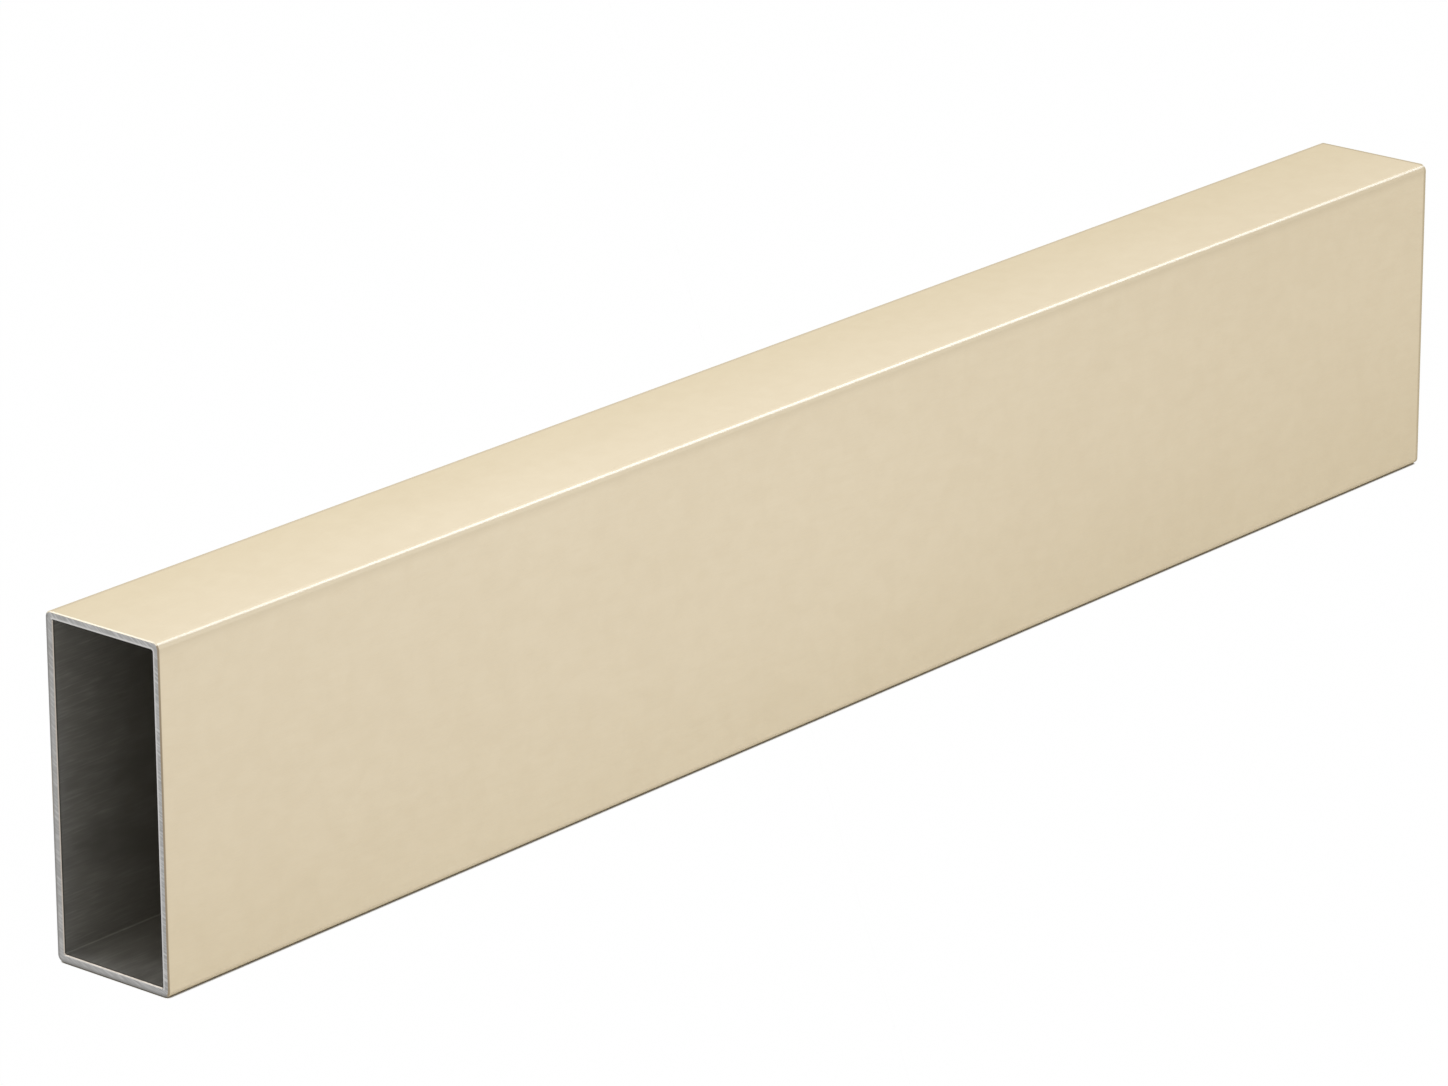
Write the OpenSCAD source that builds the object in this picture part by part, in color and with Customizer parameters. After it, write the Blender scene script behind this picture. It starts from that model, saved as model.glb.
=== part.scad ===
// Pergola purlin: a hollow rectangular aluminium bar, extruded in one piece and sawn square at both ends.
// The bar runs along X and stands on its narrow side. The origin is under its middle, at floor level.

/* [Section] */
// Height of the section as the purlin stands
depth = 120; // [60:1:200]
// Width of the section from side to side
width = 50; // [30:1:100]
// Thickness of all four walls
wall = 3; // [1.8:0.1:6]
// Radius of the four long outer edges
edge_radius = 2.5; // [1:0.1:8]
// Radius of the four long inner corners of the bore
bore_radius = 0.5; // [0.2:0.1:4]

/* [Length] */
// Length between the two sawn ends
length = 690; // [100:1:6500]

/* [Ends] */
// Bevel left by deburring the outer edge of each sawn end
outer_bevel = 0.4; // [0.1:0.05:0.8]
// Bevel left by deburring the mouth of the bore at each sawn end
mouth_bevel = 0.5; // [0.1:0.05:0.8]

/* [Hidden] */
$fn = 64;

coat_colour = "#ddd0b6";

bore_width = width - 2 * wall;
bore_depth = depth - 2 * wall;
// How far the bore's cutting shape runs on past each sawn end
overrun = 1;

// One side of a bar, seen along its length. It lies at reach from the middle line over the straight run,
// and then moves by step over the run of each end bevel: outwards, or inwards where step is negative.
function side_outline(reach, straight, bevel, step) = [
    [reach + step, -straight / 2 - bevel],
    [reach, -straight / 2],
    [reach, straight / 2],
    [reach + step, straight / 2 + bevel]
];

// Flat slab of a bar: two opposite sides, held over the breadth between the rounded corners.
module slab(reach, breadth, straight, bevel, step) {
    outline = side_outline(reach, straight, bevel, step);
    linear_extrude(breadth, center = true)
        polygon(concat(outline, -outline));
}

// Round rod that carries one rounded corner of a bar, with a cone for the bevel at each end.
module corner_rod(radius, straight, bevel, step) {
    end = straight / 2 + bevel;
    rotate_extrude()
        polygon(concat([[0, -end]], side_outline(radius, straight, bevel, step), [[0, end]]));
}

// Bar along Z with a rounded rectangular section of w by d, bevelled by step at both ends.
module bar(w, d, r, straight, bevel, step) {
    rotate([90, 0, 0])
        slab(w / 2, d - 2 * r, straight, bevel, step);
    rotate([90, 0, 90])
        slab(d / 2, w - 2 * r, straight, bevel, step);
    for (x = [-1, 1], y = [-1, 1])
        translate([x * (w / 2 - r), y * (d / 2 - r), 0])
            corner_rod(r, straight, bevel, step);
}

// Outside of the purlin, with its edge broken inwards at each sawn end.
module outside() {
    bar(width, depth, edge_radius, length - 2 * outer_bevel, outer_bevel, -outer_bevel);
}

// Hollow of the purlin, open right through, with its mouth broken outwards at each sawn end.
module bore() {
    flare = mouth_bevel + overrun;
    bar(bore_width, bore_depth, bore_radius, length - 2 * mouth_bevel, flare, flare);
}

// The whole purlin: one hollow bar along X, standing on its narrow side.
module purlin_tube() {
    color(coat_colour)
        translate([0, 0, depth / 2])
            rotate([90, 0, 90])
                difference() {
                    outside();
                    bore();
                }
}

purlin_tube();
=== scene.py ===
"""Dresses the pergola purlin, a hollow cream-coated bar with bare sawn ends, and sets it in a white studio.

The wall of the bar is one Geometry Nodes sweep: the closed loop of a lengthwise cut through the wall is
carried round the loop of the rounded rectangular section. Three finishes dress it: the satin coat outside,
the sawn metal of the ends and the mill finish of the bore.
"""

import logging
import math
from collections.abc import Mapping, Sequence
from dataclasses import dataclass, fields
from enum import Enum
from typing import ClassVar

import bpy
from mathutils import Matrix, Vector


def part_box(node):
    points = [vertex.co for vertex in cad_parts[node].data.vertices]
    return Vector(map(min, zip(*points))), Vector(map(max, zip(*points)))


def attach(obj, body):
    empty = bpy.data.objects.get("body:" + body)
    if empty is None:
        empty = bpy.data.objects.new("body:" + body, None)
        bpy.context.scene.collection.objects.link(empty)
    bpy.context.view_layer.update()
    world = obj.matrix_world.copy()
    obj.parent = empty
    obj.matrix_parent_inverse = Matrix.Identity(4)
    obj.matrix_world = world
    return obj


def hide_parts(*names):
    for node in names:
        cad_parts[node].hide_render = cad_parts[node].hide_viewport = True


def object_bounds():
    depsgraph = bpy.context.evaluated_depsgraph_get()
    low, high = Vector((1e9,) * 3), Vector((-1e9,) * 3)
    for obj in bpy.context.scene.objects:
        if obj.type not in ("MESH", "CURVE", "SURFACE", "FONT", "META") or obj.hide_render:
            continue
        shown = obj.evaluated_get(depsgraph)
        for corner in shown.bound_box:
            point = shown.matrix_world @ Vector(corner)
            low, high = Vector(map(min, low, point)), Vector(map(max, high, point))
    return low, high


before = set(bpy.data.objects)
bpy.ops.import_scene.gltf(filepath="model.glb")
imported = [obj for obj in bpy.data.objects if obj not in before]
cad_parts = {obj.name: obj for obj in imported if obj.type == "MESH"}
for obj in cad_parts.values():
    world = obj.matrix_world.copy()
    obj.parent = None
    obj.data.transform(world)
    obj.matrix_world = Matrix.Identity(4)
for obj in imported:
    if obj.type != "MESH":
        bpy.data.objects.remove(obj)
cad_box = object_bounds()

log = logging.getLogger("purlin")

Colour = tuple[float, float, float, float]
Triple = tuple[float, float, float]

MM = 0.001
WHITE: Colour = (1.0, 1.0, 1.0, 1.0)
BROWNED: Colour = (0.32, 0.25, 0.16, 1.0)


class Surface(Enum):
    """The three surfaces of the purlin. Each value names the material that dresses it."""

    COAT = "satin_cream_coat"
    SAWN = "sawn_aluminium"
    BORE = "mill_finish_bore"


class Blending(Enum):
    """How one colour is brought into another. Each value is the Mix node's own name for it."""

    COVER = "MIX"
    TINT = "MULTIPLY"


@dataclass(frozen=True, eq=False)
class Signal:
    """One output socket of a node, which takes part in Python expressions.

    Arithmetic with other signals or with numbers adds Math nodes to the signal's tree.
    """

    wiring: "Wiring"
    socket: bpy.types.NodeSocket

    def __add__(self, other: "Operand") -> "Signal":
        """This value plus another."""
        return self.wiring.math("ADD", self, other)

    def __radd__(self, other: "Operand") -> "Signal":
        """A number plus this value."""
        return self.wiring.math("ADD", other, self)

    def __sub__(self, other: "Operand") -> "Signal":
        """This value less another."""
        return self.wiring.math("SUBTRACT", self, other)

    def __rsub__(self, other: "Operand") -> "Signal":
        """A number less this value."""
        return self.wiring.math("SUBTRACT", other, self)

    def __mul__(self, other: "Operand") -> "Signal":
        """This value times another."""
        return self.wiring.math("MULTIPLY", self, other)

    def __rmul__(self, other: "Operand") -> "Signal":
        """A number times this value."""
        return self.wiring.math("MULTIPLY", other, self)

    def __truediv__(self, other: "Operand") -> "Signal":
        """This value divided by another."""
        return self.wiring.math("DIVIDE", self, other)

    def __abs__(self) -> "Signal":
        """This value without its sign."""
        return self.wiring.math("ABSOLUTE", self)

    def towards(self, other: "Signal", share: "Operand") -> "Signal":
        """A value on the way from this one to another."""
        return self + share * (other - self)

    def floor(self) -> "Signal":
        """The whole number at or below this value."""
        return self.wiring.math("FLOOR", self)

    def cosine(self) -> "Signal":
        """The cosine of this angle."""
        return self.wiring.math("COSINE", self)

    def sine(self) -> "Signal":
        """The sine of this angle."""
        return self.wiring.math("SINE", self)

    def at_most(self, limit: "Operand") -> "Signal":
        """This value or the limit, whichever is lower."""
        return self.wiring.math("MINIMUM", self, limit)

    def at_least(self, limit: "Operand") -> "Signal":
        """This value or the limit, whichever is higher."""
        return self.wiring.math("MAXIMUM", self, limit)

    def above(self, limit: "Operand") -> "Signal":
        """One where this value is over the limit, and zero elsewhere."""
        return self.wiring.math("GREATER_THAN", self, limit)

    def rise(self, low: float, high: float) -> "Signal":
        """A smooth step of this value, from zero at low to one at high."""
        settings = {"interpolation_type": "SMOOTHSTEP"}
        return self.wiring.node("ShaderNodeMapRange", settings, {0: self, 1: low, 2: high})["Result"]


Operand = Signal | float
Feed = Signal | float | bool | str | Sequence[float] | bpy.types.Material


@dataclass(frozen=True)
class Placed:
    """A node that stands in its tree, whose outputs are read by name or number."""

    wiring: "Wiring"
    node: bpy.types.Node

    def __getitem__(self, output: int | str) -> Signal:
        """The output of that name or number."""
        return Signal(self.wiring, self.node.outputs[output])


@dataclass(frozen=True)
class Wiring:
    """Adds nodes to one tree and joins their sockets."""

    tree: bpy.types.NodeTree

    def node(
        self,
        kind: str,
        settings: Mapping[str, object] | None = None,
        sockets: Mapping[int | str, Feed] | None = None,
    ) -> Placed:
        """Adds one node.

        Args:
            kind: Type of the node, such as ShaderNodeMath.
            settings: Attributes of the node, which are set before its sockets.
            sockets: What each input takes, by its name or number: a signal to link or a plain value.

        Returns:
            The node in its tree.
        """
        added = self.tree.nodes.new(kind)
        for name, value in (settings or {}).items():
            setattr(added, name, value)
        for key, feed in (sockets or {}).items():
            if isinstance(feed, Signal):
                self.tree.links.new(feed.socket, added.inputs[key])
            else:
                added.inputs[key].default_value = feed
        return Placed(self, added)

    def math(self, operation: str, *operands: Operand) -> Signal:
        """Adds one Math node.

        Args:
            operation: What the node does, such as ADD.
            operands: The values that it takes, in their order.

        Returns:
            The node's result.
        """
        return self.node("ShaderNodeMath", {"operation": operation}, dict(enumerate(operands)))["Value"]

    def vector(self, x: Operand, y: Operand, z: Operand) -> Signal:
        """A vector of three values."""
        return self.node("ShaderNodeCombineXYZ", None, {"X": x, "Y": y, "Z": z})["Vector"]


@dataclass(frozen=True)
class Pattern:
    """How a noise is drawn over a surface.

    Its features are counted in a metre along each axis. The plain noise, which is about a half on average,
    comes out as zero up to low and as one from high on.
    """

    per_metre: Triple
    detail: float = 2.0
    wander: float = 0.0
    low: float = 0.3
    high: float = 0.7


@dataclass(frozen=True)
class ShaderWiring(Wiring):
    """Wiring of a shader tree, with the patterns that the finishes share."""

    def object_place(self) -> Signal:
        """The place of a point in the purlin's own frame, in metres."""
        return self.node("ShaderNodeTexCoord")["Object"]

    def axes(self) -> tuple[Signal, Signal, Signal]:
        """The place of a point as three values: along the purlin, across it and up."""
        parts = self.node("ShaderNodeSeparateXYZ", None, {"Vector": self.object_place()})
        return parts["X"], parts["Y"], parts["Z"]

    def attribute(self, name: str) -> Signal:
        """A value that the mesh carries at each point."""
        return self.node("ShaderNodeAttribute", {"attribute_name": name})["Fac"]

    def pattern(self, place: Signal, pattern: Pattern) -> Signal:
        """Smooth noise over a surface.

        Args:
            place: The point that the noise is read at.
            pattern: How the noise is drawn.

        Returns:
            A value from zero to one.
        """
        factors = {0: place, 1: pattern.per_metre}
        drawn = self.node("ShaderNodeVectorMath", {"operation": "MULTIPLY"}, factors)
        sockets = {
            "Vector": drawn["Vector"],
            "Scale": 1.0,
            "Detail": pattern.detail,
            "Distortion": pattern.wander,
        }
        noise = self.node("ShaderNodeTexNoise", None, sockets)["Fac"]
        return noise.rise(pattern.low, pattern.high)

    def blend(
        self,
        share: Operand,
        first: Signal | Colour,
        second: Signal | Colour,
        mode: Blending = Blending.COVER,
    ) -> Signal:
        """Brings a second colour into a first one.

        Args:
            share: Share in which the second colour takes part.
            first: Colour at a share of zero.
            second: Colour that is brought in.
            mode: Whether it covers the first colour or tints it.

        Returns:
            The blended colour.
        """
        settings = {"data_type": "RGBA", "blend_type": mode.value}
        return self.node("ShaderNodeMix", settings, {0: share, 6: first, 7: second})[2]

    def bump(self, height: Signal, distance: float) -> Signal:
        """The normal of a surface that carries a fine relief.

        Args:
            height: Relief, from zero to one.
            distance: Height in metres that a value of one stands for.

        Returns:
            The tilted normal.
        """
        return self.node("ShaderNodeBump", None, {"Distance": distance, "Height": height})["Normal"]

    def principled(self, sockets: Mapping[str, Feed]) -> None:
        """Ends a material's tree in one Principled surface with these sockets."""
        surface = self.node("ShaderNodeBsdfPrincipled", None, sockets)["BSDF"]
        self.node("ShaderNodeOutputMaterial", None, {"Surface": surface})


def new_material(surface_name: str) -> tuple[bpy.types.Material, ShaderWiring]:
    """Makes an empty material.

    Args:
        surface_name: Name of the material.

    Returns:
        The material and the wiring of its tree.
    """
    material = bpy.data.materials.new(surface_name)
    material.use_nodes = True
    material.node_tree.nodes.clear()
    return material, ShaderWiring(material.node_tree)


@dataclass(frozen=True)
class SatinCoat:
    """Satin cream coat on the outside, with a faint brushed grain along the bar and soft clouds in its tone.

    Painted shade deepens its tone towards the back of the top and at the foot of the sides, and browns it
    along the two upper edges. Painted shade darkens it along the far end's edge. At the near end the
    saw has browned the front's rim and bared the back's and the underside's, and the top's rim carries a
    painted highlight. Where the rim starts and where it is full are given in breadths of the outer bevel.
    """

    pale: Colour = (0.722, 0.622, 0.450, 1.0)
    warm: Colour = (0.686, 0.584, 0.413, 1.0)
    shade: Colour = (0.640, 0.540, 0.375, 1.0)
    metallic: float = 0.03
    roughness: float = 0.24
    grain_roughness: float = 0.08
    specular: float = 0.0
    pearl: float = 0.28
    pearl_ior: float = 3.0
    pearl_roughness: float = 0.25
    clouds: Pattern = Pattern((8.0, 16.0, 16.0), detail=3.0)
    cloud_share: float = 0.40
    blotches: Pattern = Pattern((110.0, 110.0, 110.0), wander=0.4, high=0.75)
    blotch_share: float = 0.48
    grain: Pattern = Pattern((110.0, 1500.0, 1500.0), wander=0.3, low=0.35, high=0.75)
    grain_share: float = 0.40
    grain_height: float = 0.003 * MM
    # Painted shade: a deeper tone towards the back of the top and at the foot of the sides
    deep: Colour = (0.937, 0.928, 0.887, 1.0)
    painted_foot_shade: float = 0.5
    # Painted shade along the two upper edges, browner below the long highlight and along the back
    edge_shade: Colour = (0.565, 0.475, 0.328, 1.0)
    edge_shade_start: float = 0.45 * MM
    edge_shade_full: float = 0.95 * MM
    edge_shade_end: float = 6.5 * MM
    edge_shade_top: float = 1.2 * MM
    # Painted shade along the far end's edge
    far_end_shade: Colour = (0.48, 0.395, 0.255, 1.0)
    far_end_shade_start: float = 2.2 * MM
    far_end_shade_full: float = 1.0 * MM
    lip: Colour = BROWNED
    # Painted highlight on the top's rim at the near end
    rim_highlight: Colour = (0.92, 0.85, 0.70, 1.0)
    bare_rim: Colour = (0.27, 0.265, 0.26, 1.0)
    rim_start: float = 1.2
    rim_full: float = 0.6

    def material(self, purlin: "Purlin") -> bpy.types.Material:
        """Builds the coat's material.

        Args:
            purlin: The bar that is coated.

        Returns:
            The material.
        """
        material, wiring = new_material(Surface.COAT.value)
        grain = wiring.pattern(wiring.object_place(), self.grain)
        tone = self.open_tone(wiring, purlin, grain)
        tone = self.edge_shade_tone(wiring, purlin, tone)
        wiring.principled({
            "Base Color": self.end_tone(wiring, purlin, tone),
            "Metallic": self.metallic,
            "Roughness": self.roughness + self.grain_roughness * grain,
            "Specular IOR Level": self.specular,
            "Coat Weight": self.pearl,
            "Coat IOR": self.pearl_ior,
            "Coat Roughness": self.pearl_roughness,
            "Normal": wiring.bump(grain, self.grain_height),
        })
        return material

    def open_tone(self, wiring: ShaderWiring, purlin: "Purlin", grain: Signal) -> Signal:
        """Gives the coat its tone away from edges and ends, with painted shade towards the back of the top
        and the foot of the sides.

        Args:
            wiring: Wiring of the coat's tree.
            purlin: The bar that is coated.
            grain: The brushed grain, from zero to one.

        Returns:
            The tone.
        """
        place = wiring.object_place()
        _, across, up = wiring.axes()
        clouds = wiring.pattern(place, self.clouds)
        blotches = wiring.pattern(place, self.blotches)
        tone = wiring.blend(self.cloud_share * clouds + self.blotch_share * blotches, self.pale, self.warm)
        tone = wiring.blend(self.grain_share * grain, tone, self.shade)
        below_top = purlin.depth - up
        half_width = 0.5 * purlin.width
        # Painted shade, deeper towards the back of the top and down to the foot of the sides
        on_top = 1.0 - below_top.rise(0.0, purlin.edge_radius)
        painted_back_shade = on_top * across.rise(-half_width, half_width)
        painted_foot_shade_share = self.painted_foot_shade * below_top.rise(0.5 * purlin.depth, purlin.depth)
        return wiring.blend(painted_back_shade + painted_foot_shade_share, tone, self.deep, Blending.TINT)

    def edge_shade_tone(self, wiring: ShaderWiring, purlin: "Purlin", tone: Signal) -> Signal:
        """Paints shade on the coat along the two upper edges, below the long highlight and along the back
        edge.

        Args:
            wiring: Wiring of the coat's tree.
            purlin: The bar that is coated.
            tone: The coat's tone so far.

        Returns:
            The new tone.
        """
        _, across, up = wiring.axes()
        below_top = purlin.depth - up
        back_flat_end = 0.5 * purlin.width - purlin.edge_radius
        # Painted shade on the rounded upper edges, fading down the front
        on_back_edge = across.rise(back_flat_end - self.edge_shade_top, back_flat_end)
        past_edge = below_top.rise(self.edge_shade_start, self.edge_shade_full).at_least(on_back_edge)
        shade_fade = (self.edge_shade_end - below_top) / (self.edge_shade_end - self.edge_shade_full)
        shade_fade = shade_fade.at_least(0.0).at_most(1.0)
        return wiring.blend(past_edge * shade_fade * shade_fade, tone, self.edge_shade)

    def end_tone(self, wiring: ShaderWiring, purlin: "Purlin", tone: Signal) -> Signal:
        """Adds painted shade along the far end's edge, and at the near end the rims that the saw left, with
        a painted highlight on the top's.

        Args:
            wiring: Wiring of the coat's tree.
            purlin: The bar that is coated.
            tone: The coat's tone so far.

        Returns:
            The new tone.
        """
        along, across, up = wiring.axes()
        end = 0.5 * purlin.length
        # Painted shade along the far end's edge
        tone = wiring.blend(along.rise(end - self.far_end_shade_start, end - self.far_end_shade_full), tone, self.far_end_shade)
        rim_start = end - self.rim_start * purlin.outer_bevel
        rim_full = end - self.rim_full * purlin.outer_bevel
        at_rim = (-1.0 * along).rise(rim_start, rim_full)
        # Painted highlight on the top's rim at the near end
        rim = wiring.blend(purlin.front_and_top_walls(across, up), self.bare_rim, self.rim_highlight)
        rim = wiring.blend(purlin.front_wall(across, up), rim, self.lip)
        return wiring.blend(at_rim, tone, rim)


@dataclass(frozen=True)
class SawnMetal:
    """Bare aluminium of the sawn ends, with the strokes of a round saw blade across it.

    Painted shade darkens the rim along the back and the underside, and a painted highlight brightens their
    mouth's bevel. Along the front and the top a painted highlight brightens the land up to the bore and
    painted shade darkens the mouth's bevel, and a narrow tan lip of coat is dragged over the front's rim.
    The painted shade on the mouth's bevel sets in over a share of its breadth.
    """

    metal: Colour = (0.37, 0.368, 0.365, 1.0)
    bright: Colour = (0.56, 0.558, 0.555, 1.0)
    dark: Colour = (0.28, 0.277, 0.273, 1.0)
    # Painted shade on the rim along the back and the underside
    rim_shade: Colour = (0.24, 0.235, 0.23, 1.0)
    # Painted highlight on the land next to the mouth, on the front and the top
    land_highlight: Colour = (0.66, 0.655, 0.65, 1.0)
    # Painted highlight on the mouth's bevel, on the back and the underside
    mouth_highlight: Colour = (0.62, 0.555, 0.48, 1.0)
    # Painted shade on the mouth's bevel, on the front and the top
    mouth_shade: Colour = (0.05, 0.048, 0.045, 1.0)
    lip: Colour = BROWNED
    metallic: float = 0.85
    roughness: float = 0.40
    stroke_roughness: float = 0.12
    blade_across: float = -90.0 * MM
    blade_up: float = 242.0 * MM
    strokes: Pattern = Pattern((1500.0, 120.0, 0.0), wander=0.4, low=0.40, high=0.72)
    faint: float = 0.75
    stroke_height: float = 0.015 * MM
    patches: Pattern = Pattern((120.0, 120.0, 120.0), detail=3.0, low=0.35)
    patch_share: float = 0.6
    mouth_shade_rise: float = 0.2
    lip_breadth: float = 0.25 * MM
    rim_shade_breadth: float = 1.2 * MM
    land_highlight_breadth: float = 0.9 * MM

    def material(self, purlin: "Purlin") -> bpy.types.Material:
        """Builds the material of the sawn ends.

        Args:
            purlin: The bar whose ends are sawn.

        Returns:
            The material.
        """
        material, wiring = new_material(Surface.SAWN.value)
        place = wiring.object_place()
        _, across, up = wiring.axes()
        sawn_flat = wiring.vector(0.0, across, up)
        blade = (0.0, self.blade_across, self.blade_up)
        from_blade = wiring.node("ShaderNodeVectorMath", {"operation": "DISTANCE"}, {0: sawn_flat, 1: blade})
        strokes = wiring.pattern(wiring.vector(from_blade["Value"], across, up), self.strokes)
        patches = wiring.pattern(place, self.patches)
        colour = wiring.blend(self.patch_share * patches, self.metal, self.dark)
        on_front = purlin.front_wall(across, up)
        on_show = purlin.front_and_top_walls(across, up)
        colour = wiring.blend(strokes * (self.faint + (1.0 - self.faint) * on_show), colour, self.bright)

        inset = wiring.attribute(purlin.INSET)
        rim = purlin.outer_bevel
        mouth = purlin.wall - purlin.mouth_bevel
        # Painted shade on the rim along the back and the underside
        rim_shaded = (1.0 - inset.rise(rim, rim + self.rim_shade_breadth)) * (1.0 - on_show)
        # Painted highlight on the land next to the mouth, on the front and the top
        land_lit = inset.rise(mouth - self.land_highlight_breadth, mouth) * on_show
        # Painted shade on the mouth's bevel, on the front and the top
        mouth_shaded = inset.rise(mouth, mouth + self.mouth_shade_rise * purlin.mouth_bevel) * on_show
        # Painted highlight on the mouth's bevel, on the back and the underside
        mouth_lit = inset.rise(mouth, purlin.wall) * (1.0 - on_show)
        lipped = (1.0 - inset.rise(rim + 0.5 * self.lip_breadth, rim + self.lip_breadth)) * on_front
        marks = (
            (rim_shaded, self.rim_shade),
            (land_lit, self.land_highlight),
            (mouth_shaded, self.mouth_shade),
            (mouth_lit, self.mouth_highlight),
            (lipped, self.lip),
        )
        for share, shown in marks:
            colour = wiring.blend(share, colour, shown)
        wiring.principled({
            "Base Color": colour,
            "Metallic": self.metallic,
            "Roughness": self.roughness + self.stroke_roughness * strokes,
            "Normal": wiring.bump(strokes, self.stroke_height),
        })
        return material


@dataclass(frozen=True)
class MillBore:
    """Dull, dark mill finish of the bore, drawn along the bar by the die, with a painted highlight in each
    corner.

    Painted shade, warm in tone, darkens it from the two mouths inwards, and a dark band of painted shade
    runs round just inside each mouth.
    """

    metal: Colour = (0.310, 0.309, 0.302, 1.0)
    streak: Colour = (0.42, 0.418, 0.409, 1.0)
    stain: Colour = (0.20, 0.198, 0.192, 1.0)
    # Painted shade, warm in tone, deeper into the bore from each mouth
    inner_shade: Colour = (0.245, 0.229, 0.192, 1.0)
    # Painted shade just inside each mouth
    mouth_band_shade: Colour = (0.12, 0.118, 0.112, 1.0)
    # Painted highlight along the bore's corners
    line: Colour = (0.70, 0.70, 0.67, 1.0)
    metallic: float = 0.5
    roughness: float = 0.48
    streak_roughness: float = 0.12
    streaks: Pattern = Pattern((90.0, 1500.0, 1500.0), wander=0.4, low=0.40, high=0.80)
    stains: Pattern = Pattern((30.0, 60.0, 60.0), detail=3.0, low=0.4, high=0.75)
    stain_share: float = 0.75
    inner_shade_share: float = 0.6
    inner_shade_reach: float = 60.0 * MM
    mouth_band_reach: float = 0.9 * MM
    streak_height: float = 0.015 * MM
    corner_highlight_reach: float = 0.6 * MM
    corner_highlight_share: float = 0.5

    def material(self, purlin: "Purlin") -> bpy.types.Material:
        """Builds the material of the bore.

        Args:
            purlin: The bar that the bore runs through.

        Returns:
            The material.
        """
        material, wiring = new_material(Surface.BORE.value)
        place = wiring.object_place()
        along, across, up = wiring.axes()
        streaks = wiring.pattern(place, self.streaks)
        stains = wiring.pattern(place, self.stains)
        tone = wiring.blend(streaks, self.metal, self.streak)
        tone = wiring.blend(self.stain_share * stains, tone, self.stain)
        from_end = 0.5 * purlin.length - abs(along)
        # Painted shade, warm in tone, deeper into the bore from each mouth
        tone = wiring.blend(self.inner_shade_share * from_end.rise(0.0, self.inner_shade_reach), tone, self.inner_shade)
        # Painted shade just inside each mouth
        past_mouth = from_end.rise(purlin.mouth_bevel, purlin.mouth_bevel + self.mouth_band_reach)
        tone = wiring.blend(past_mouth, self.mouth_band_shade, tone)
        half_width = 0.5 * purlin.width - purlin.wall
        half_depth = 0.5 * purlin.depth - purlin.wall
        # Painted highlight along the bore's corners
        to_side = abs(across).rise(half_width - self.corner_highlight_reach, half_width)
        to_level = abs(up - 0.5 * purlin.depth).rise(half_depth - self.corner_highlight_reach, half_depth)
        wiring.principled({
            "Base Color": wiring.blend(self.corner_highlight_share * to_side * to_level, tone, self.line),
            "Metallic": self.metallic,
            "Roughness": self.roughness + self.streak_roughness * streaks,
            "Normal": wiring.bump(streaks, self.streak_height),
        })
        return material


@dataclass(frozen=True)
class LoopPoint:
    """Where a numbered point lies on a loop with four corners, which are rounded or cut off straight.

    At a corner the sides are plus or minus one, and along a flat they pass from one corner's to the next
    one's. The turn leads from a corner's centre to the point, as a share of the corner's radius. The facing
    is the direction in which the surface looks there.
    """

    side_x: Signal
    side_y: Signal
    turn_x: Signal
    turn_y: Signal
    facing_x: Signal
    facing_y: Signal

    def x(self, half: Operand, radius: Operand) -> Signal:
        """First coordinate on a loop of that half breadth and corner radius."""
        return self.side_x * (half - radius) + self.turn_x * radius

    def y(self, half: Operand, radius: Operand) -> Signal:
        """Second coordinate on a loop of that half height and corner radius."""
        return self.side_y * (half - radius) + self.turn_y * radius


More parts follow.
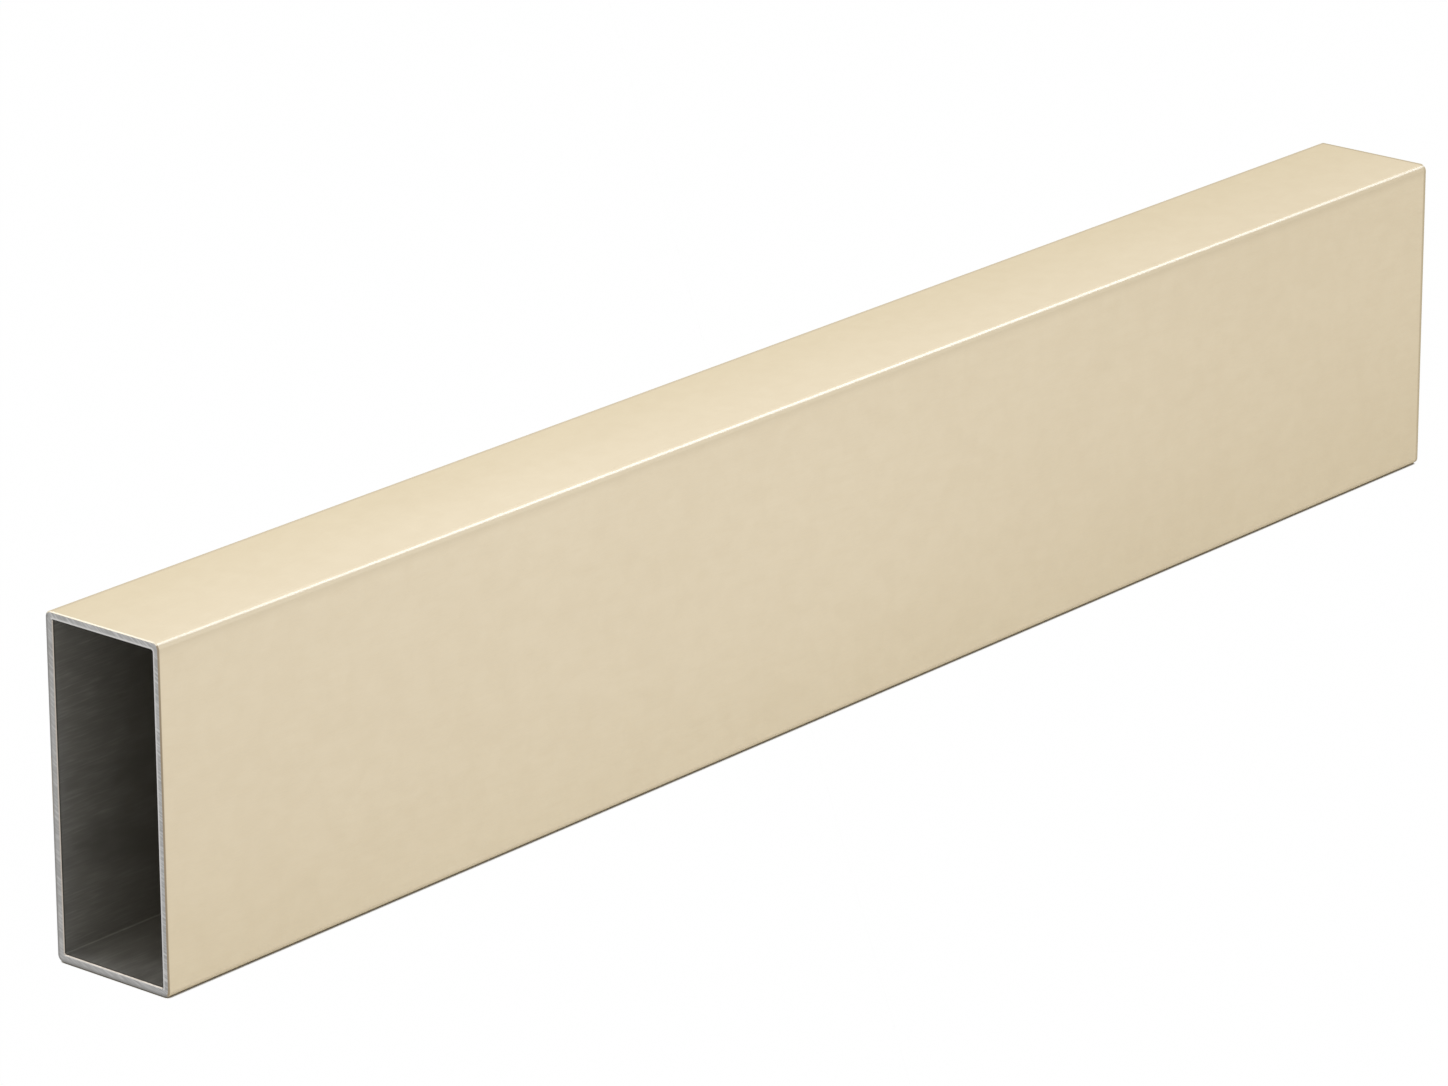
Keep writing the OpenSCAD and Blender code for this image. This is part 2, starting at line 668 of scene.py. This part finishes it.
@dataclass(frozen=True)
class SweepWiring(Wiring):
    """Wiring of the Geometry Nodes tree that sweeps the purlin's wall."""

    BEVEL_STEPS: ClassVar[float] = 3.0

    def size_inputs(self, sizes: Mapping[str, float]) -> dict[str, Signal]:
        """Gives the tree one named input for each size.

        Args:
            sizes: The sizes by name. Whole numbers are counts.

        Returns:
            The inputs inside the tree, by the same names.
        """
        for name, size in sizes.items():
            kind = "NodeSocketInt" if isinstance(size, int) else "NodeSocketFloat"
            self.tree.interface.new_socket(name, in_out="INPUT", socket_type=kind)
        group = self.node("NodeGroupInput")
        return {name: group[name] for name in sizes}

    def numbered_loop(self, name: str, points: Signal) -> Signal:
        """A closed curve whose points carry their number.

        Args:
            name: Attribute that holds the number.
            points: How many points the curve has.

        Returns:
            The curve.
        """
        circle = self.node("GeometryNodeCurvePrimitiveCircle", None, {"Resolution": points})["Curve"]
        return self.store(circle, name, "INT", self.node("GeometryNodeInputIndex")["Index"])

    def store(self, geometry: Signal, name: str, data_type: str, value: Signal) -> Signal:
        """Stores a named value at each point.

        Args:
            geometry: What carries the value.
            name: Attribute that holds it.
            data_type: Its type, such as FLOAT.
            value: The value.

        Returns:
            The geometry with the value.
        """
        settings = {"data_type": data_type, "domain": "POINT"}
        sockets = {"Geometry": geometry, "Name": name, "Value": value}
        return self.node("GeometryNodeStoreNamedAttribute", settings, sockets)["Geometry"]

    def read(self, name: str, data_type: str) -> Signal:
        """A named value that the geometry carries."""
        stored = self.node("GeometryNodeInputNamedAttribute", {"data_type": data_type}, {"Name": name})
        return stored["Attribute"]

    def heading(self, quarters: Signal) -> tuple[Signal, Signal]:
        """The direction after a number of quarter turns, as two values."""
        angle = quarters * (math.pi / 2)
        return angle.cosine(), angle.sine()

    def walk(
        self,
        number: Signal,
        corner_steps: Operand,
        flat_steps: Signal,
    ) -> tuple[Signal, Signal, Signal]:
        """Follows a loop of four corners and four flats up to a numbered point.

        Args:
            number: The point's number.
            corner_steps: How many steps lead round each corner.
            flat_steps: How many points stand on each flat, gathered towards its two ends.

        Returns:
            The number of the last corner, the share of it that is passed and the share of the flat after it.
        """
        per_side = corner_steps + 1.0 + flat_steps
        corner = (number / per_side).floor()
        step = number - corner * per_side
        passed = (step / corner_steps).at_most(1.0)
        along = (step - corner_steps).at_least(0.0) / (flat_steps + 1.0)
        return corner, passed, 0.5 - 0.5 * (along * math.pi).cosine()

    def sides(self, corner: Signal, share: Signal) -> tuple[Signal, Signal]:
        """Finds the sides of a point on the flat after a corner.

        Args:
            corner: The corner's number.
            share: How much of the flat is passed.

        Returns:
            The sides, as two values.
        """
        here = self.heading(corner + 0.5)
        following = self.heading(corner + 1.5)
        return tuple(math.sqrt(2.0) * a.towards(b, share) for a, b in zip(here, following))

    def rounded_point(self, number: Signal, corner_steps: Signal, flat_steps: Signal) -> LoopPoint:
        """Places a numbered point on a loop with rounded corners.

        Args:
            number: The point's number.
            corner_steps: How many steps each corner's arc has.
            flat_steps: How many points stand on each flat.

        Returns:
            The point's place on the loop.
        """
        corner, passed, share = self.walk(number, corner_steps, flat_steps)
        turn = self.heading(corner + passed)
        return LoopPoint(*self.sides(corner, share), *turn, *turn)

    def bevelled_point(self, number: Signal, softness: Signal, flat_steps: Signal) -> LoopPoint:
        """Places a numbered point on a loop with its corners cut off straight.

        Args:
            number: The point's number.
            softness: Share of a bevel's breadth, at each of its edges, over which the surface turns.
            flat_steps: How many points stand on each flat.

        Returns:
            The point's place on the loop.
        """
        corner, passed, share = self.walk(number, self.BEVEL_STEPS, flat_steps)
        step = passed * self.BEVEL_STEPS
        first = step.at_most(1.0)
        middle = (step - 1.0).at_least(0.0).at_most(1.0)
        last = (step - 2.0).at_least(0.0)
        across = softness * (first + last) + (1.0 - 2.0 * softness) * middle
        start = self.heading(corner)
        end = self.heading(corner + 1.0)
        turn = (a.towards(b, across) for a, b in zip(start, end))
        return LoopPoint(*self.sides(corner, share), *turn, *self.heading(corner + 0.5 * (first + last)))


@dataclass
class Purlin:
    """The hollow bar: its sizes, the sweep that makes its wall and the finishes that dress it."""

    length: float
    width: float
    depth: float
    wall: float = 3.0 * MM
    edge_radius: float = 2.5 * MM
    bore_radius: float = 0.5 * MM
    outer_bevel: float = 0.4 * MM
    mouth_bevel: float = 0.5 * MM
    corner_steps: int = 14
    bevel_softness: float = 0.12
    flat_steps: int = 11

    NODE: ClassVar[str] = "purlin_tube"
    BODY: ClassVar[str] = "root"
    INSET: ClassVar[str] = "inset"
    MITRE: ClassVar[float] = 0.3 * MM
    BORE_MARGIN: ClassVar[float] = 0.01

    @classmethod
    def from_frame(cls) -> "Purlin":
        """The purlin with the outer sizes of its solid in the frame."""
        low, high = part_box(cls.NODE)
        return cls(*(high - low))

    def sizes(self) -> dict[str, float]:
        """The sizes and counts by name."""
        return {entry.name: getattr(self, entry.name) for entry in fields(self)}

    def front_wall(self, across: Signal, up: Signal) -> Signal:
        """One on the front wall as an end shows it, mitred to its neighbours, and zero elsewhere."""
        to_front = across + 0.5 * self.width
        return (up.at_most(self.depth - up) - to_front).rise(-self.MITRE, self.MITRE)

    def front_and_top_walls(self, across: Signal, up: Signal) -> Signal:
        """Tells the front and top walls, as an end shows them, from the other two.

        Args:
            across: Place of a point across the purlin.
            up: Its height.

        Returns:
            One on the front and top walls, and zero on the back and underside walls.
        """
        to_shown = (across + 0.5 * self.width).at_most(self.depth - up)
        to_hidden = (0.5 * self.width - across).at_most(up)
        return (to_hidden - to_shown).rise(-self.MITRE, self.MITRE)

    def build(self, materials: Mapping[Surface, bpy.types.Material]) -> bpy.types.Object:
        """Makes the purlin's mesh.

        Args:
            materials: The material of each surface.

        Returns:
            The piece, at the origin.
        """
        piece = bpy.data.objects.new("purlin", bpy.data.meshes.new("purlin_seed"))
        bpy.context.scene.collection.objects.link(piece)
        tree = self.sweep_tree(materials)
        modifier = piece.modifiers.new("sweep", "NODES")
        modifier.node_group = tree
        for name, size in self.sizes().items():
            modifier[tree.interface.items_tree[name].identifier] = size
        graph = bpy.context.evaluated_depsgraph_get()
        swept = piece.evaluated_get(graph)
        mesh = bpy.data.meshes.new_from_object(swept, preserve_all_data_layers=True, depsgraph=graph)
        mesh.name = "purlin"
        piece.modifiers.remove(modifier)
        piece.data = mesh
        return piece

    def sweep_tree(self, materials: Mapping[Surface, bpy.types.Material]) -> bpy.types.NodeTree:
        """Builds the tree that sweeps the wall.

        Args:
            materials: The material of each surface.

        Returns:
            The Geometry Nodes tree, with one input for each size.
        """
        tree = bpy.data.node_groups.new("purlin_sweep", "GeometryNodeTree")
        wiring = SweepWiring(tree)
        size = wiring.size_inputs(self.sizes())
        rings = 4.0 * (wiring.BEVEL_STEPS + 1.0 + size["flat_steps"])
        columns = 4.0 * (size["corner_steps"] + 1.0 + size["flat_steps"])
        loops = {
            "Curve": wiring.numbered_loop("column", columns),
            "Profile Curve": wiring.numbered_loop("ring", rings),
        }
        skin = wiring.node("GeometryNodeCurveToMesh", None, loops)["Mesh"]

        ring = wiring.read("ring", "INT")
        cut = wiring.bevelled_point(ring, size["bevel_softness"], size["flat_steps"])
        inward = 0.5 - 0.5 * cut.side_y
        bevel = size["outer_bevel"] + inward * (size["mouth_bevel"] - size["outer_bevel"])
        inset = 0.5 * size["wall"] - cut.y(0.5 * size["wall"], bevel)
        skin = wiring.store(skin, self.INSET, "FLOAT", inset)

        column = wiring.read("column", "INT")
        section = wiring.rounded_point(column, size["corner_steps"], size["flat_steps"])
        land = size["wall"] - size["outer_bevel"] - size["mouth_bevel"]
        over_land = ((inset - size["outer_bevel"]) / land).at_least(0.0).at_most(1.0)
        moved_centre = size["bore_radius"] + size["wall"] - size["edge_radius"]
        radius = size["edge_radius"] - inset + over_land * moved_centre
        place = wiring.vector(
            cut.x(0.5 * size["length"], bevel),
            section.x(0.5 * size["width"] - inset, radius),
            section.y(0.5 * size["depth"] - inset, radius) + 0.5 * size["depth"],
        )
        normal = wiring.vector(
            cut.facing_x,
            cut.facing_y * section.facing_x,
            cut.facing_y * section.facing_y,
        )
        sockets = {"Geometry": skin, "Position": place}
        skin = wiring.node("GeometryNodeSetPosition", None, sockets)["Geometry"]
        sockets = {"Mesh": skin, "Custom Normal": normal}
        skin = wiring.node("GeometryNodeSetMeshNormal", {"mode": "FREE", "domain": "POINT"}, sockets)["Mesh"]
        for name in ("ring", "column"):
            sockets = {"Geometry": skin, "Name": name}
            skin = wiring.node("GeometryNodeRemoveAttribute", None, sockets)["Geometry"]
        skin = wiring.node("GeometryNodeRealizeInstances", None, {"Geometry": skin})["Geometry"]
        deep = wiring.read(self.INSET, "FLOAT")
        zones = {
            Surface.COAT: True,
            Surface.SAWN: deep.above(size["outer_bevel"]),
            Surface.BORE: deep.above(size["wall"] - self.BORE_MARGIN * size["mouth_bevel"]),
        }
        for surface, zone in zones.items():
            sockets = {"Geometry": skin, "Selection": zone, "Material": materials[surface]}
            skin = wiring.node("GeometryNodeSetMaterial", None, sockets)["Geometry"]
        tree.interface.new_socket("Mesh", in_out="OUTPUT", socket_type="NodeSocketGeometry")
        wiring.node("NodeGroupOutput", None, {"Mesh": skin})
        return tree

    def dress(self) -> dict[Surface, bpy.types.Material]:
        """Builds the finish of each surface."""
        return {
            Surface.COAT: SatinCoat().material(self),
            Surface.SAWN: SawnMetal().material(self),
            Surface.BORE: MillBore().material(self),
        }

    def settle(self, piece: bpy.types.Object) -> None:
        """Sets the piece in the frame in place of its solid.

        Args:
            piece: The dressed purlin.
        """
        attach(piece, self.BODY)
        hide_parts(self.NODE)


def aimed(place: Vector, back: Vector, right: Vector) -> Matrix:
    """The pose of a camera or a lamp, both of which look along their own minus Z.

    Args:
        place: Where it stands.
        back: Direction from what it looks at towards itself.
        right: Direction of its right-hand side.

    Returns:
        Its world matrix.
    """
    turned = Matrix((right, back.cross(right), back)).transposed().to_4x4()
    return Matrix.Translation(place) @ turned


@dataclass(frozen=True)
class Softbox:
    """A rectangular studio lamp that faces the middle of the purlin, with its breadth along the bar."""

    name: str
    towards: Triple
    distance: float
    breadth: float
    height: float
    radiance: float
    tint: Triple = (1.0, 1.0, 1.0)

    def hang(self, middle: Vector) -> None:
        """Hangs the lamp at its distance and turns it to the purlin.

        Args:
            middle: Middle of the purlin.
        """
        lamp = bpy.data.lights.new(self.name, "AREA")
        lamp.shape = "RECTANGLE"
        lamp.size = self.breadth
        lamp.size_y = self.height
        lamp.energy = math.pi * self.breadth * self.height * self.radiance
        lamp.color = self.tint
        back = Vector(self.towards).normalized()
        bar = Vector((1.0, 0.0, 0.0))
        right = (bar - bar.project(back)).normalized()
        hung = bpy.data.objects.new(self.name, lamp)
        hung.matrix_world = aimed(middle + back * self.distance, back, right)
        bpy.context.scene.collection.objects.link(hung)


@dataclass(frozen=True)
class Viewpoint:
    """The camera, at the angle from which the purlin's near end, front and top are seen."""

    azimuth: float = math.radians(-49.89)
    elevation: float = math.radians(19.22)
    roll: float = math.radians(-0.23)
    distance: float = 2.527
    lens: float = 178.97
    sensor: float = 36.0
    aim: Triple = (-0.0185, 0.0194, 0.0555)

    def place(self) -> None:
        """Makes the camera and hands it to the scene."""
        camera = bpy.data.cameras.new("viewpoint")
        camera.lens = self.lens
        camera.sensor_width = self.sensor
        camera.sensor_fit = "HORIZONTAL"
        back = Vector((
            math.sin(self.azimuth) * math.cos(self.elevation),
            -math.cos(self.azimuth) * math.cos(self.elevation),
            math.sin(self.elevation),
        ))
        level = Vector((0.0, 0.0, 1.0)).cross(back).normalized()
        right = Matrix.Rotation(self.roll, 3, back) @ level
        seen = bpy.data.objects.new("viewpoint", camera)
        seen.matrix_world = aimed(Vector(self.aim) + back * self.distance, back, right)
        bpy.context.scene.collection.objects.link(seen)
        bpy.context.scene.camera = seen


@dataclass(frozen=True)
class Studio:
    """Plain white studio: a pale floor, an even sky and a few soft lamps."""

    floor_reach: float = 12.0
    floor_drop: float = 0.1 * MM
    floor_colour: Colour = (0.57, 0.555, 0.52, 1.0)
    shade_colour: Colour = (0.38, 0.36, 0.32, 1.0)
    floor_white: float = 0.997
    shade_reach: float = 1.6 * MM
    shade_low: float = 0.30
    shade_high: float = 0.54
    sky: float = 0.73
    sky_tint: Colour = (1.07, 1.0, 0.85, 1.0)
    lamps: tuple[Softbox, ...] = (
        Softbox(
            name="key_softbox",
            towards=(-0.35, -0.55, 0.76),
            distance=0.70,
            breadth=0.35,
            height=0.35,
            radiance=3.65,
            tint=(0.88, 1.0, 1.3),
        ),
        Softbox(
            name="fill_softbox",
            towards=(0.30, -0.93, 0.20),
            distance=2.0,
            breadth=0.8,
            height=0.8,
            radiance=2.15,
        ),
        Softbox(
            name="edge_softbox",
            towards=(0.722, -0.219, 0.656),
            distance=5.0,
            breadth=1.7,
            height=2.3,
            radiance=6.0,
            tint=(0.76, 0.87, 1.02),
        ),
        Softbox(
            name="rim_softbox",
            towards=(-0.429, 0.633, 0.644),
            distance=3.17,
            breadth=0.75,
            height=0.75,
            radiance=4.4,
        ),
    )

    def build(self, middle: Vector) -> None:
        """Makes the floor, the sky and the lamps, and sets the plain view transform.

        Args:
            middle: Middle of the purlin, which the lamps face.
        """
        self.lay_floor()
        self.light_sky()
        for lamp in self.lamps:
            lamp.hang(middle)
        bpy.context.scene.view_settings.view_transform = "Standard"

    @staticmethod
    def looked_at(wiring: ShaderWiring) -> Signal:
        """Tells rays that show a surface from rays that carry light to it.

        Args:
            wiring: Wiring of the floor's or the sky's tree.

        Returns:
            One for rays that show a surface, directly or in a gloss or a glass, and zero for the others.
        """
        rays = wiring.node("ShaderNodeLightPath")
        seen = rays["Is Camera Ray"].at_least(rays["Is Glossy Ray"])
        return seen.at_least(rays["Is Transmission Ray"])

    def lay_floor(self) -> None:
        """Lays the pale floor, which is white to the eye except in the shade that the purlin stands in."""
        material, wiring = new_material("studio_floor")
        seen = self.looked_at(wiring)
        shaded = wiring.blend(seen, self.floor_colour, self.shade_colour)
        matt = wiring.node("ShaderNodeBsdfDiffuse", None, {"Color": shaded})["BSDF"]
        white = wiring.node("ShaderNodeEmission", None, {"Color": WHITE, "Strength": 1.0})["Emission"]
        cover = wiring.node("ShaderNodeAmbientOcclusion", None, {"Distance": self.shade_reach})["AO"]
        clear = cover.rise(self.shade_low, self.shade_high)
        share = seen * clear * self.floor_white
        shown = wiring.node("ShaderNodeMixShader", None, {0: share, 1: matt, 2: white})["Shader"]
        wiring.node("ShaderNodeOutputMaterial", None, {"Surface": shown})
        reach = self.floor_reach
        corners = [(-reach, -reach), (reach, -reach), (reach, reach), (-reach, reach)]
        mesh = bpy.data.meshes.new("studio_floor")
        mesh.from_pydata([(x, y, -self.floor_drop) for x, y in corners], [], [(0, 1, 2, 3)])
        mesh.materials.append(material)
        floor = bpy.data.objects.new("studio_floor", mesh)
        bpy.context.scene.collection.objects.link(floor)

    def light_sky(self) -> None:
        """Fills the sky with even light, and shows it as white."""
        world = bpy.data.worlds.new("studio_sky")
        world.use_nodes = True
        world.node_tree.nodes.clear()
        wiring = ShaderWiring(world.node_tree)
        sockets = {"Color": self.sky_tint, "Strength": self.sky}
        even = wiring.node("ShaderNodeBackground", None, sockets)["Background"]
        white = wiring.node("ShaderNodeBackground", None, {"Color": WHITE, "Strength": 1.0})["Background"]
        seen = self.looked_at(wiring)
        shown = wiring.node("ShaderNodeMixShader", None, {0: seen, 1: even, 2: white})["Shader"]
        wiring.node("ShaderNodeOutputWorld", None, {"Surface": shown})
        bpy.context.scene.world = world


def main() -> None:
    """Builds the purlin and its studio."""
    logging.basicConfig(level=logging.INFO, format="%(name)s: %(message)s")
    purlin = Purlin.from_frame()
    piece = purlin.build(purlin.dress())
    purlin.settle(piece)
    log.info("%s: %d faces, %d materials", piece.name, len(piece.data.polygons), len(piece.data.materials))
    Viewpoint().place()
    low, high = cad_box
    Studio().build((low + high) / 2)
    log.info("studio: floor, sky and lamps")


if __name__ == "__main__":
    main()
